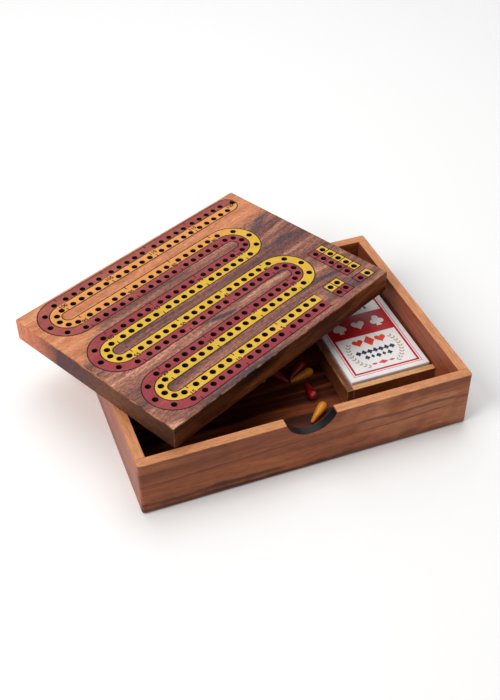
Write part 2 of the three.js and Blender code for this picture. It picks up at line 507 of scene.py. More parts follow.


# ---------- box ----------
# Palettes are five colours: dark, middle, light, deep for pores, and a pale one for rubbed edges and for the
# painted highlight on the tops of rims.
BOX_WOOD = colours((110, 50, 24), (149, 78, 40), (176, 100, 54), (46, 20, 10), (210, 142, 94))
SIDE_WOOD = colours((128, 62, 40), (158, 84, 54), (182, 104, 70), (54, 26, 17), (210, 142, 94))
PANEL_WOOD = colours((26, 9, 4), (84, 34, 15), (178, 94, 44), (12, 6, 4), (110, 60, 34))
STRIP_WOOD = colours((92, 48, 28), (130, 74, 45), (160, 100, 62), (40, 21, 13), (222, 166, 112))
STAIN = colours((6, 6, 8), (26, 25, 28))
GROWTH_AND_SHADE = colour(48, 18, 12)
BLOOM = colour(196, 126, 86)

# Streaks, a pale bloom and a broad band of painted shade along the foot, on the front and back boards,
# measured from the middle of each board.
FRONT_STREAKS = (
    (-104, 0, 70, 40, 0.000, 0.22, GROWTH_AND_SHADE),
    (92, 4, 90, 30, 0.000, 0.50, BLOOM),
    (-70, 3.6, 92, 1.3, 0.025, 0.45, GROWTH_AND_SHADE),
    (72, 6.8, 78, 2.2, 0.004, 0.62, GROWTH_AND_SHADE),
    (78, -1.6, 62, 1.1, 0.030, 0.60, GROWTH_AND_SHADE),
    (-76, -15.6, 82, 2.6, 0.012, 0.80, GROWTH_AND_SHADE),
    (-50, -20.4, 115, 1.5, 0.006, 0.75, GROWTH_AND_SHADE),
    # Painted shade: a broad band that darkens the foot of the board.
    (0, -20.5, 240, 5.5, 0.002, 0.42, GROWTH_AND_SHADE),
    (96, 13.8, 40, 0.8, 0.012, 0.45, GROWTH_AND_SHADE),
    (-10, 15.5, 60, 0.7, -0.010, 0.30, GROWTH_AND_SHADE),
    (20, -9.5, 60, 0.7, 0.010, 0.35, GROWTH_AND_SHADE),
)
# Streaks on the left and right boards, measured in the same way.
SIDE_STREAKS = (
    (-10, 3.0, 100, 1.1, 0.020, 0.55, GROWTH_AND_SHADE),
    (20, -14.0, 110, 1.6, -0.015, 0.70, GROWTH_AND_SHADE),
    (-40, 14.0, 50, 0.9, 0.030, 0.35, GROWTH_AND_SHADE),
    (30, -5.5, 60, 0.7, 0.010, 0.35, GROWTH_AND_SHADE),
)


FRONT_LOW, FRONT_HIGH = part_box("front_wall")
HALF_LENGTH, HALF_WIDTH, RIM = FRONT_HIGH.x / MM, -FRONT_LOW.y / MM, FRONT_HIGH.z / MM
FIGURE_SHIFT = np.array((13.7, 5.1, 8.3))  # centimetres of grain between one board's figure and the next


def on_hull(face):
    """True if a face lies on the outside of the whole box: its four sides and its underside."""
    x, y, z = face.calc_center_median()
    close = 1e-3
    return min(abs(abs(x) - HALF_LENGTH), abs(abs(y) - HALF_WIDTH), abs(z)) < close


def round_edges(bm, edges, radius, segments):
    how = dict(offset_type="OFFSET", profile=0.5, affect="EDGES", clamp_overlap=True)
    bmesh.ops.bevel(bm, geom=edges, offset=radius, segments=segments, **how)


def ease_board(bm):
    """Rounds the outer edges of the box, then eases every edge that is still sharp."""
    bm.normal_update()
    outer = [e for e in bm.edges if len(e.link_faces) == 2 and all(on_hull(f) for f in e.link_faces)]
    round_edges(bm, outer, OUTER_ROUND, 6)
    bm.normal_update()
    sharpest = math.radians(50)
    sharp = [e for e in bm.edges if len(e.link_faces) == 2 and e.calc_face_angle() > sharpest]
    round_edges(bm, sharp, EASE, 3)


def add_prism(bm, outline, low, high):
    """A solid with an outline in x and z, from one y to another."""
    near = [bm.verts.new((x, low, z)) for x, z in outline]
    far = [bm.verts.new((x, high, z)) for x, z in outline]
    join_rings(bm, near, far)
    bm.faces.new(near)
    bm.faces.new(far)
    bmesh.ops.recalc_face_normals(bm, faces=bm.faces)


def notch_points(radius):
    """The notch's arc, from its right end on the rim down and up to its left end."""
    dip = math.degrees(math.asin((NOTCH_CENTRE_HEIGHT - RIM) / NOTCH_RADIUS))
    return arc(0, NOTCH_CENTRE_HEIGHT, radius, -dip, dip - 180, 40)


def mark_wood(mesh, low, high, along, seed):
    """Stores where each point lies in its board, and in its grain, whose fibres run along an axis."""
    points = coordinates(mesh) / MM
    middle = np.array((low + high) / 2)
    store_vectors(mesh, "board", points - middle)
    order = [along] + [axis for axis in range(3) if axis != along]
    store_vectors(mesh, "grain", points[:, order] / 10 + FIGURE_SHIFT * seed)


def add_board(node, slot, palette, along, seed, outline=None, **figure):
    """A board of the box in the place of its CAD node, with eased edges and its own figure."""
    low, high = node_box(node)
    bm = bmesh.new()
    add_prism(bm, outline or rectangle(low.x, low.z, high.x, high.z), low.y, high.y)
    ease_board(bm)
    mesh = finished_mesh(node, bm)
    mark_wood(mesh, low, high, along, seed)
    material = wood(node, palette, half_size=tuple((high - low) / 2), **figure)
    made = add_piece(node + "_wood", mesh, material, "box", slot, node)
    made.modifiers.new("normals", "WEIGHTED_NORMAL").keep_sharp = True


def add_box():
    notched = [(-HALF_LENGTH, 0), (HALF_LENGTH, 0), (HALF_LENGTH, RIM)]
    notched += notch_points(NOTCH_RADIUS)
    notched += [(-HALF_LENGTH, RIM)]
    # The rim settings of the walls and strips give their tops a painted highlight.
    wall = dict(cut=(0.35, 1.0), rim=RIM / 2)
    front = dict(streaks=FRONT_STREAKS, axes=(0, 2))
    side = dict(streaks=SIDE_STREAKS, axes=(1, 2))
    strip_low, strip_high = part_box("well_left_strip")
    strip = dict(rim=(strip_high.z - strip_low.z) / MM / 2)
    add_board("front_wall", "box_wood", BOX_WOOD, 0, 1.0, notched, **wall, **front)
    add_board("back_wall", "box_wood", BOX_WOOD, 0, 2.0, **wall, **front)
    add_board("left_wall", "box_wood", SIDE_WOOD, 1, 3.0, **wall, **side)
    add_board("right_wall", "box_wood", SIDE_WOOD, 1, 4.0, **wall, **side)
    add_board("base_panel", "panel_wood", PANEL_WOOD, 0, 5.0, cut=(1.6, 0.5))
    add_board("well_left_strip", "strip_wood", STRIP_WOOD, 1, 6.0)
    add_board("well_front_strip", "strip_wood", STRIP_WOOD, 0, 7.0, **strip)
    add_board("well_back_strip", "strip_wood", STRIP_WOOD, 0, 8.0, **strip)
    add_board("lid_rest_block", "strip_wood", STRIP_WOOD, 2, 9.0, **strip)


def stain_material():
    """The near-black, slightly waxy finish on the notch's cut."""
    shader = Shader("notch_stain")
    place = shader.add("TexCoord").outputs["Object"]
    drag = shader.noise(place, (90, 900, 90), 4.0, 0.6)
    base = shader.ramp(drag, (0.3, 0.75), STAIN)
    rough = shader.span(drag, 0.3, 0.7, 0.30, 0.5)
    shader.set(Base_Color=base, Roughness=rough, Specular_IOR_Level=0.25)
    shader.bump(drag, 0.25, 0.08)
    return shader.material


def add_notch_stain():
    """A thin curved skin on the notch's cut, between the wall's two faces."""
    low, high = node_box("front_wall")
    inner = notch_points(NOTCH_RADIUS - NOTCH_STAIN)[1:-1]
    outer = notch_points(NOTCH_RADIUS + NOTCH_STAIN)[1:-1]
    bm = bmesh.new()
    add_prism(bm, inner + outer[::-1], low.y + EASE, high.y - EASE)
    add_piece("notch_stain", finished_mesh("notch_stain", bm), stain_material(), "box", "notch_stain")


# ---------- board ----------
def board_corners():
    """The lid's front, right and left corners at its underside, from the CAD node, in millimetres."""
    points = node_points("cribbage_board")
    base = points[points[:, 2] < points[:, 2].min() + 0.01]
    front = Vector(base[base[:, 1].argmin()])
    right = Vector(base[base[:, 0].argmax()])
    left = Vector(base[base[:, 0].argmin()])
    return front, right, left


BOARD_FRONT, BOARD_RIGHT, BOARD_LEFT = board_corners()
BOARD_LENGTH = (BOARD_RIGHT - BOARD_FRONT).length
BOARD_WIDTH = (BOARD_LEFT - BOARD_FRONT).length
BOARD_LOW, BOARD_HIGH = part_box("cribbage_board")
BOARD_THICKNESS = (BOARD_HIGH.z - BOARD_LOW.z) / MM
BOARD_HALF = (BOARD_LENGTH / 2, BOARD_WIDTH / 2, BOARD_THICKNESS / 2)


def board_matrix():
    """From the board's layout, x from its left edge and y from its far edge, to the row frame."""
    along = (BOARD_RIGHT - BOARD_FRONT).normalized()
    towards_front = (BOARD_FRONT - BOARD_LEFT).normalized()
    axes = Matrix((along, towards_front, Vector((0, 0, 1)))).transposed()
    return Matrix.Translation(BOARD_LEFT) @ axes.to_4x4()


BOARD_MATRIX = board_matrix()


def hole_centres():
    """The centres of the CAD board's holes in the layout, from the rims of their flat bottoms."""
    points = node_points("cribbage_board")
    depth = points[:, 2].max() - HOLE_DEPTH
    rims = np.unique(points[abs(points[:, 2] - depth) < 0.05].round(3), axis=0)
    centres = []
    while len(rims):
        near = np.zeros(len(rims), bool)
        near[0] = True
        for _ in range(CAD_HOLE_SIDES):
            gaps = np.linalg.norm(rims[:, None, :2] - rims[near][None, :, :2], axis=2)
            near = (gaps < CAD_HOLE_REACH).any(axis=1)
        centre = Vector(rims[near].mean(axis=0))
        local = BOARD_MATRIX.inverted() @ centre
        centres.append((local.x, local.y))
        rims = rims[~near]
    return sorted(centres)


HOLES = hole_centres()


def run_line(run):
    return PRINT_FIRST + PRINT_PITCH * run


def numeral_gap(run):
    """Half the length of the middle line left out for a numeral, which has three digits on the first run."""
    return 3.9 if run == 0 else 2.9


def straight(run, offset, opened):
    """Points of a run between its bends, where an opened line steps to the middle line at each numeral."""
    if not opened:
        return []
    middle = run_line(run)
    leftward = run % 2 == 0
    direction = -1 if leftward else 1
    gap = numeral_gap(run)
    points = []
    for x in sorted(run_ticks(run), reverse=leftward):
        for ahead, level in ((-gap - GAP_STEP, offset), (-gap, 0), (gap, 0), (gap + GAP_STEP, offset)):
            points.append((x + direction * ahead, middle + direction * level))
    return points


def track_line(offset, opened=False):
    """A line along the straight runs and bends, offset towards the red lane, from the finish to the start."""
    points = straight(0, offset, opened)
    for bend in range(RUN_COUNT - 1):
        middle = (run_line(bend) + run_line(bend + 1)) / 2
        if bend % 2 == 0:
            points += arc(LEFT_BEND, middle, PRINT_PITCH / 2 + offset, 270, 90, ARC_STEPS)
        else:
            points += arc(RIGHT_BEND, middle, PRINT_PITCH / 2 - offset, -90, 90, ARC_STEPS)
        points += straight(bend + 1, offset, opened)
    points.append((TRACK_START, run_line(RUN_COUNT - 1) + offset))
    return points


def ground_outline():
    """The outline of the whole track, with its round end at the finish."""
    reach = LANE_WIDTH + LINE_WIDTH / 2
    tip = arc(FINISH_CENTRE, run_line(0), reach, 90, -90, ARC_STEPS)
    return tip + track_line(reach) + track_line(-reach)[::-1]


def finish_end(side):
    """The end of the red lane (side 1) or the yellow lane (side -1), which passes round the finish hole.

    Returns the arc round the hole, from the middle line to the lane's outer line, and the outer arc after it.
    """
    middle = run_line(0)
    radius = LANE_WIDTH - LINE_WIDTH / 2
    x, y = min(HOLES, key=lambda hole: math.dist(hole, (FINISH_CENTRE + radius, middle)))
    across, along = y - middle, x - FINISH_CENTRE
    distance = math.hypot(along, across)
    cosine = (radius ** 2 + distance ** 2 - FINISH_RING ** 2) / (2 * radius * distance)
    meeting = math.degrees(math.atan2(across, along) - side * math.acos(cosine))
    outer = arc(FINISH_CENTRE, middle, radius, meeting, -90 * side, ARC_STEPS // 2)

    step = -side * LINE_WIDTH / 2 - across
    start = math.degrees(math.atan2(step, -math.sqrt(FINISH_RING ** 2 - step ** 2)))
    end = math.degrees(math.atan2(outer[0][1] - y, outer[0][0] - x))
    if side < 0:
        start %= 360
    return arc(x, y, FINISH_RING, start, end, ARC_STEPS // 2), outer[1:]


def lane_outline(side):
    """The closed outline of the red lane (side 1) or the yellow lane (side -1)."""
    half = side * LINE_WIDTH / 2
    round_hole, outer = finish_end(side)
    far_line = track_line(side * LANE_WIDTH - half)
    return round_hole + outer + far_line + track_line(half, opened=True)[::-1]


def run_ticks(run):
    """Where a run has its ticks and numerals: the last run starts too late for the fourth."""
    return TICKS[:3] if run == RUN_COUNT - 1 else TICKS


def inside(point, outline):
    x, y = point
    crossings = 0
    for (x0, y0), (x1, y1) in zip(outline, outline[1:] + outline[:1]):
        if (y0 > y) != (y1 > y) and x < x0 + (y - y0) * (x1 - x0) / (y1 - y0):
            crossings += 1
    return crossings % 2 == 1


def holed(outline):
    """An outline together with the mouths of the holes that lie in it."""
    mouths = [c for c in HOLES if inside(c, outline)]
    return [outline] + [circle(x, y, HOLE_RADIUS + HOLE_LIP, HOLE_SIDES) for x, y in mouths]


def cells(spec):
    """The cells of a small grid: (column, row, outline) with a burnt line's half width kept clear."""
    left, top, widths, heights = spec
    clear = LINE_WIDTH / 2
    y = top
    for row, height in enumerate(heights):
        x = left
        for column, width in enumerate(widths):
            right, bottom = x + width - clear, y + height - clear
            yield column, row, rounded_rectangle(x + clear, y + clear, right, bottom, CELL_ROUND, 2)
            x += width
        y += height


def grid_outline(spec):
    left, top, widths, heights = spec
    clear = LINE_WIDTH / 2
    right, bottom = left + sum(widths), top + sum(heights)
    return rounded_rectangle(left - clear, top - clear, right + clear, bottom + clear, GRID_ROUND, 2)


def on_board(name, bm):
    """A mesh made in the board's layout, carried to the row frame, with its grain coordinates."""
    mesh = finished_mesh(name, bm)
    points = coordinates(mesh) / MM
    middle = np.array(BOARD_HALF)
    store_vectors(mesh, "layout", points)
    store_vectors(mesh, "grain", points / 10)
    store_vectors(mesh, "board", points - middle)
    inset = (middle - abs(points - middle))[:, :2].min(axis=1)
    # The holes' walls and floors, below their lips and clear of the board's own sides and underside, which
    # are painted near-black as painted shade.
    deep = (points[:, 2] < BOARD_THICKNESS - 0.9 * HOLE_LIP) & (points[:, 2] > 1)
    bored = (inset > BOARD_CORNER) & deep
    bore = mesh.attributes.new("bore", "FLOAT", "POINT")
    bore.data.foreach_set("value", bored.astype(np.float32))
    matrix = Matrix.Scale(MM, 4) @ BOARD_MATRIX @ Matrix.Scale(1 / MM, 4)
    mesh.transform(matrix)
    if matrix.determinant() < 0:
        mesh.flip_normals()
    return mesh


def finish_sheet(bm, loops, height):
    """A burnt or painted region on the board's top, let a little way into the wood."""
    add_sheet(bm, loops, BOARD_THICKNESS - BURNT_DEPTH, BOARD_THICKNESS + height)


SAPWOOD = colours((172, 96, 60), (203, 128, 84), (222, 154, 108))
HEARTWOOD = colours((62, 35, 37), (110, 64, 56), (149, 92, 74), (200, 140, 112))
NEAR_SIDE = colours((34, 15, 7), (98, 49, 23), (172, 102, 54))
FAR_SIDE = colours((132, 76, 50), (172, 104, 72), (200, 130, 94))
# Across the end, from the far side's sapwood to the near side's heartwood.
END_GRAIN = colours(
    (205, 128, 96), (188, 112, 86), (92, 64, 66), (96, 66, 62), (112, 70, 52), (72, 44, 32)
)
BORE_PAINTED_SHADE = colours((22, 6, 6), (50, 18, 14))
BURNT = colours((24, 13, 10), (68, 38, 28))
SMOKE = colour(58, 48, 60)
PALE = colour(214, 156, 124)

# Streaks in the board's heartwood, in its layout.
BOARD_STREAKS = (
    (214, 46, 28, 6.0, -0.24, 0.70, SMOKE),
    (200, 76, 32, 4.5, 0.05, 0.80, SMOKE),
    (106, 109, 20, 2.6, 0.14, 0.95, SMOKE),
    (190, 137, 46, 3.0, 0.08, 0.80, SMOKE),
    (200, 153, 34, 8.0, 0.02, 0.70, SMOKE),
    (72, 165.5, 62, 2.8, 0.01, 0.85, SMOKE),
    (2, 91, 16, 3.0, 0.05, 0.75, SMOKE),
    (110, 51, 60, 1.8, 0.00, 0.45, SMOKE),
    (50, 160, 55, 2.4, -0.02, 0.35, SMOKE),
    (225, 108, 20, 3.0, -0.08, 0.45, SMOKE),
    (60, 80, 40, 1.2, 0.01, 0.40, SMOKE),
    (140, 139, 50, 1.2, 0.02, 0.45, SMOKE),
    (198, 127, 24, 2.4, 0.10, 0.60, PALE),
    (156, 109, 36, 2.2, 0.03, 0.75, PALE),
    (218, 62, 20, 3.0, -0.06, 0.50, PALE),
    (204, 93, 18, 2.2, -0.04, 0.40, PALE),
    (2, 164, 13, 4.5, 0.01, 0.90, PALE),
)
BOARD_AXES = (0, 1)


def rim_distance(shader):
    """How far a point of the board lies from its four sides, in millimetres."""
    x, y, _ = insets(shader, BOARD_HALF)
    return shader.math("MINIMUM", x, y)


def board_colour(shader):
    """The board's wood colour: tan sapwood along its far side, streaked purple-brown heartwood, and sides
    darkened by painted shade.
    """
    bent, streaks, fibres, pores = wood_figure(shader, (1.1, 0.30))
    along, across, _ = shader.parts(bent)

    # The edge between the two woods wanders. It lies some 5 cm in, and swings further in at the left end.
    wander = shader.noise(bent, (0.22, 0.5, 0.4), 3.0, 0.55)
    edge = across + along * 0.05 - shader.span(along, 4.5, 0.5, 0.0, 2.6) + wander * 1.6
    heart = shader.span(edge, 5.0, 6.5)

    tan = shader.ramp(streaks, (0.30, 0.50, 0.70), SAPWOOD)
    brown = shader.ramp(streaks, (0.28, 0.42, 0.55, 0.72), HEARTWOOD)
    base = shader.mix(heart, tan, brown)
    base = add_streaks(shader, base, "layout", BOARD_AXES, BOARD_STREAKS)
    base = shaded(shader, base, fibres, 0.68, 1.20)

    # Short flecks, strongest in the heartwood.
    flecks = shader.noise(bent, (3.5, 9.0, 9.0), 3.0, 0.65)
    flecked = shaded(shader, base, flecks, 0.56, 1.32)
    base = shader.mix(shader.span(heart, 0.0, 1.0, 0.35, 1.0), base, flecked)
    # The sides take their own colours, with painted shade that keeps them darker than the top.
    base = shader.mix(shader.span(rim_distance(shader), 0.9, 0.1), base, side_colour(shader, streaks, fibres))
    return base, fibres, pores, heart


def side_colour(shader, streaks, fibres):
    """The sawn sides, with painted shade that keeps them darker than the top: dark brown streaks on the near
    side, tan on the far one, and both woods at the ends.
    """
    layout = shader.vector("layout")
    x, y, _ = shader.parts(layout)
    near_side = shader.ramp(streaks, (0.34, 0.50, 0.66), NEAR_SIDE)
    far_side = shader.ramp(streaks, (0.34, 0.50, 0.66), FAR_SIDE)
    long_side = shader.mix(shader.span(y, 0.7 * BOARD_WIDTH, 0.3 * BOARD_WIDTH), near_side, far_side)
    across = y / BOARD_WIDTH + shader.noise(layout, 0.05, 3.0, 0.6) * 0.12 - 0.06
    end_grain = shader.ramp(across, (0.00, 0.17, 0.28, 0.44, 0.62, 1.00), END_GRAIN)
    nearest_end = shader.math("MINIMUM", x, BOARD_LENGTH - x)
    side = shader.mix(shader.span(nearest_end, 0.9, 0.3), long_side, end_grain)
    return shaded(shader, side, fibres, 0.50, 1.36)


def board_material():
    shader = Shader("board_wood")
    base, fibres, pores, _ = board_colour(shader)
    base = shader.mix(edge_wear(shader, BOARD_HALF) * 0.60, base, colour(196, 136, 92))
    base = shader.mix(pores * 0.6, base, colour(40, 26, 24))
    # Painted shade: the holes' walls and floors are painted near-black.
    bore = Value(shader, shader.add("Attribute", attribute_name="bore").outputs["Fac"])
    scorch_and_bore_shade = shader.ramp(fibres, (0.35, 0.65), BORE_PAINTED_SHADE)
    base = shader.mix(bore, base, scorch_and_bore_shade)
    sawn = shader.span(rim_distance(shader), 0.9, 0.1)
    rough = shader.math("MAXIMUM", fibres * 0.25 + 0.30, bore * 0.8) + sawn * 0.2
    shader.set(Base_Color=base, Roughness=rough, Specular_IOR_Level=0.30 - sawn * 0.22)
    shader.bump(fibres * 0.5 - pores, 0.30, 0.10)
    return shader.material


def paint_material(name, on_sapwood, on_heartwood, cover):
    """Thin paint on the board: the wood's figure and pores show through it, and it has worn a little."""
    shader = Shader(name)
    base, fibres, pores, heart = board_colour(shader)
    paint = shader.mix(heart, on_sapwood, on_heartwood)
    uneven = shader.noise(shader.vector("grain"), 0.8, 5.0, 0.65)
    amount = shader.span(uneven, 0.3, 0.7, cover - 0.10, cover + 0.06)
    base = shader.mix(amount, base, paint)
    base = shader.mix(pores * 0.45, base, colour(70, 30, 20))
    shader.set(Base_Color=base, Roughness=fibres * 0.25 + 0.30, Specular_IOR_Level=0.30)
    shader.bump(fibres * 0.4 - pores, 0.3, 0.1)
    return shader.material


def burnt_material():
    shader = Shader("burnt_line")
    scorch_and_bore_shade = shader.noise(shader.vector("grain"), 2.5, 5.0, 0.65)
    base = shader.ramp(scorch_and_bore_shade, (0.3, 0.75), BURNT)
    shader.set(Base_Color=base, Roughness=0.8, Specular_IOR_Level=0.2)
    shader.bump(scorch_and_bore_shade, 0.4, 0.05)
    return shader.material


def add_board_slab():
    """The lid: eased edges all round, and round blind holes with a slight lip and a drill point."""
    top = BOARD_THICKNESS
    bm = bmesh.new()

    def outline(inset):
        radius = max(BOARD_CORNER - inset, 0.05)
        return rounded_rectangle(inset, inset, BOARD_LENGTH - inset, BOARD_WIDTH - inset, radius)

    steps = 4
    quarter = [math.pi / 2 * i / steps for i in range(steps + 1)]
    profile = [(BOARD_EDGE * (1 - math.sin(a)), BOARD_EDGE * (1 - math.cos(a))) for a in quarter]
    rings = [add_ring(bm, outline(inset), top - depth) for inset, depth in profile]
    rings += [add_ring(bm, outline(inset), depth) for inset, depth in reversed(profile)]
    for upper, lower in zip(rings, rings[1:]):
        join_rings(bm, lower, upper)
    bm.faces.new(rings[-1])

    mouths = []
    for x, y in HOLES:
        levels = (
            (HOLE_RADIUS + HOLE_LIP, top),
            (HOLE_RADIUS + 0.3 * HOLE_LIP, top - 0.3 * HOLE_LIP),
            (HOLE_RADIUS, top - HOLE_LIP),
            (HOLE_RADIUS, top - HOLE_DEPTH),
        )
        hole = [add_ring(bm, circle(x, y, radius, HOLE_SIDES), z) for radius, z in levels]
        for upper, lower in zip(hole, hole[1:]):
            join_rings(bm, lower, upper)
        close_ring(bm, hole[-1], bm.verts.new((x, y, top - HOLE_DEPTH - DRILL_POINT)))
        mouths.append(hole[0])
    fill_rings(bm, [rings[0]] + mouths)

    mesh = on_board("cribbage_board", bm)
    add_piece("board_slab", mesh, board_material(), "lid", "board_wood", "cribbage_board")


def add_track():
    """The painted lanes and cells, on a burnt ground that shows between them as their outlines."""
    grids = (COUNTER_CELLS, MATCH_CELLS, START_CELLS)
    burnt = bmesh.new()
    finish_sheet(burnt, holed(ground_outline()), BURNT_HEIGHT)
    for spec in grids:
        finish_sheet(burnt, holed(grid_outline(spec)), BURNT_HEIGHT)
    add_piece("track_outlines", on_board("outlines", burnt), burnt_material(), "lid", "burnt_line")

    paints = (
        ("red", lane_outline(1), colour(132, 30, 52), colour(148, 28, 50), 0.80),
        ("yellow", lane_outline(-1), colour(222, 152, 66), colour(228, 186, 30), 0.80),
    )
    for name, lane, on_sapwood, on_heartwood, cover in paints:
        bm = bmesh.new()
        finish_sheet(bm, holed(lane), PAINT_HEIGHT)
        for spec in grids:
            for column, row, cell in cells(spec):
                red = (row == 1) if spec is START_CELLS else (column == 0)
                if red == (name == "red"):
                    finish_sheet(bm, holed(cell), PAINT_HEIGHT)
        material = paint_material("track_" + name, on_sapwood, on_heartwood, cover)
        add_piece(name + "_track", on_board(name, bm), material, "lid", "track_" + name)


def tick_places():
    """Where each fifth hole is marked, as (x, run), in the order of play from the square start."""
    places = []
    for run in reversed(range(RUN_COUNT)):
        places += [(x, run) for x in sorted(run_ticks(run), reverse=run % 2 == 1)]
    places.append((FINISH_NUMERAL, 0))
    return places


def numeral_shift(run):
    """How far a numeral's middle lies from its run's middle line, towards the near edge."""
    return 2.5 if run == 0 else -0.8


def add_marks():
    """Burnt ticks across the outer edge of both lanes, and the count beside them."""
    bm = bmesh.new()
    numerals = []
    for count, (x, run) in enumerate(tick_places(), start=1):
        middle = run_line(run)
        if x != FINISH_NUMERAL:
            for side in (-1, 1):
                outer = middle + side * (LANE_WIDTH - LINE_WIDTH / 2)
                inner = outer - side * TICK_LENGTH
                y0, y1 = sorted((outer, inner))
                bar = rectangle(x - TICK_WIDTH / 2, y0, x + TICK_WIDTH / 2, y1)
                finish_sheet(bm, [bar], NUMERAL_HEIGHT)
        numerals.append((5 * count, x, middle + numeral_shift(run)))
    add_piece("ticks", on_board("ticks", bm), burnt_material(), "lid", "burnt_line")

    bm = bmesh.new()
    for value, x, y in numerals:
        add_numeral(bm, str(value), x, y)
    bmesh.ops.remove_doubles(bm, verts=bm.verts, dist=0.002)
    bmesh.ops.dissolve_degenerate(bm, dist=0.005, edges=bm.edges)
    add_piece("numerals", on_board("numerals", bm), burnt_material(), "lid", "burnt_line")


def add_numeral(bm, text, x, y):
    """A number in the layout, upright as seen from the front edge, as a thin closed solid."""
    curve = bpy.data.curves.new("numeral", "FONT")
    curve.body = text
    curve.size = NUMERAL_SIZE
    curve.align_x = "CENTER"
    curve.align_y = "CENTER"
    curve.extrude = (NUMERAL_HEIGHT + BURNT_DEPTH) / 2
    curve.offset = NUMERAL_WEIGHT
    curve.resolution_u = 3
    holder = bpy.data.objects.new("numeral", curve)
    mesh = bpy.data.meshes.new_from_object(holder)
    points = coordinates(mesh)
    middle = (points.min(axis=0) + points.max(axis=0)) / 2
    mesh.transform(Matrix.Translation([-float(value) for value in middle]))
    lift = BOARD_THICKNESS + (NUMERAL_HEIGHT - BURNT_DEPTH) / 2
    mesh.transform(Matrix.Translation((x, y, lift)) @ Matrix.Scale(-1, 4, (0, 1, 0)))
    bm.from_mesh(mesh)
    bpy.data.meshes.remove(mesh)
    bpy.data.objects.remove(holder)
    bpy.data.curves.remove(curve)


# ---------- pegs ----------
PEG_SHIFT = np.array((0, 17.0, 0))  # millimetres between the figures of two meshes made in turn
PEG_STAINS = {
    "peg_red": colours((108, 4, 12), (176, 12, 24)),
    "peg_yellow": colours((204, 118, 10), (236, 156, 28)),
}


def peg_axis(node):
    """The tip, head and head radius of a peg as it lies, from its CAD node."""
    points = coordinates(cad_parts[node].data).astype(float) / MM
    centre = points.mean(axis=0)
    _, _, axes = np.linalg.svd(points - centre, full_matrices=False)
    along = (points - centre) @ axes[0]
    spread = np.linalg.norm(points - centre - along[:, None] * axes[0], axis=1)
    if along[spread.argmax()] < 0:
        axes[0], along = -axes[0], -along
    tip = Vector(points[along.argmin()])
    head = Vector(points[along.argmax()])
    radius = (points[:, 2].max() - points[:, 2].min()) / 2
    return tip, head, radius


def peg_profile(length, radius):
    """(distance from the tip, radius) along a turned teardrop with a slim tip and a full round head."""
    profile = []
    for i in range(PEG_STEPS + 1):
        t = (1 - math.cos(math.pi * i / PEG_STEPS)) / 2
        cone = PEG_SLIM + (1 - PEG_SLIM) * min(1, t / PEG_SHOULDER) ** PEG_TAPER
        near_tip = 1 - min(1, t / PEG_TIP)
        near_head = max(0, (t - PEG_SHOULDER) / (1 - PEG_SHOULDER))
        rounded = math.sqrt(max(0, 1 - near_tip ** 2) * max(0, 1 - near_head ** 2))
        profile.append((t * length, radius * cone * rounded))
    return profile


def turned_peg(name, length, radius):
    """A peg along x from its tip, each with its own place in the figure of the wood."""
    bm = bmesh.new()
    ends = [bm.verts.new((x, 0, 0)) for x in (0, length)]
    rings = []
    for x, girth in peg_profile(length, radius)[1:-1]:
        rings.append([bm.verts.new((x, y, z)) for y, z in circle(0, 0, girth, PEG_SEGMENTS)])
    for low, high in zip(rings, rings[1:]):
        join_rings(bm, low, high)
    close_ring(bm, rings[0], ends[0])
    close_ring(bm, rings[-1], ends[1])
    mesh = finished_mesh(name, bm, sharp=80)
    store_vectors(mesh, "turned", coordinates(mesh) / MM + PEG_SHIFT * len(bpy.data.meshes))
    return mesh


def lacquer(name, tints):
    """Clear lacquer over stained turned wood, with faint turning lines and pooled colour."""
    shader = Shader(name)
    place = shader.vector("turned")
    pooled = shader.noise(shader.scaled(place, (0.35, 1.0, 1.0)), 0.35, 4.0, 0.6)
    lines = shader.noise(place, (9.0, 0.15, 0.15), 2.0, 0.5)
    base = shader.ramp(pooled, (0.3, 0.7), tints)
    base = multiplied(shader, base, shader.span(lines, 0.3, 0.7, 0.85, 1.08))
    rough = shader.span(pooled, 0.3, 0.7, 0.34, 0.48)
    shader.set(Base_Color=base, Roughness=rough, Coat_Weight=0.25, Coat_Roughness=0.22)
    shader.bump(lines, 0.08, 0.04)
    return shader.material


def add_pegs():
    finishes = {slot: lacquer(slot, tints) for slot, tints in PEG_STAINS.items()}
    for node in sorted(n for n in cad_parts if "_peg_" in n):
        tip, head, radius = peg_axis(node)
        mesh = turned_peg(node, (head - tip).length, radius)
        turn = Vector((1, 0, 0)).rotation_difference(head - tip).to_matrix().to_4x4()
        mesh.transform(Matrix.Translation(tip * MM) @ turn)
        slot = "peg_red" if node.startswith("red") else "peg_yellow"
        add_piece(node + "_turned", mesh, finishes[slot], node, slot, node)


# ---------- card pack ----------
CARTON_WHITE = colour(232, 229, 229)
PRINT_WHITE = colour(246, 232, 230)
CARD_EDGES = colours((186, 180, 170), (240, 237, 230))


def card_stock(name, base):
    """Coated board: a faint fibre mottle under a glossy coat, with a little grime."""
    shader = Shader(name)
    place = shader.add("TexCoord").outputs["Object"]
    mottle = shader.noise(place, 900.0, 4.0, 0.6)
    grime = shader.noise(place, 60.0, 5.0, 0.6)
    shade = shader.span(mottle, 0.3, 0.7, 0.95, 1.03) * shader.span(grime, 0.25, 0.6, 0.93, 1.0)
    base = multiplied(shader, base, shade)
    rough = shader.span(grime, 0.3, 0.7, 0.30, 0.44)
    shader.set(Base_Color=base, Roughness=rough, Specular_IOR_Level=0.3, Coat_Weight=0.12, Coat_Roughness=0.2)
    shader.bump(mottle, 0.08, 0.03)
    return shader.material


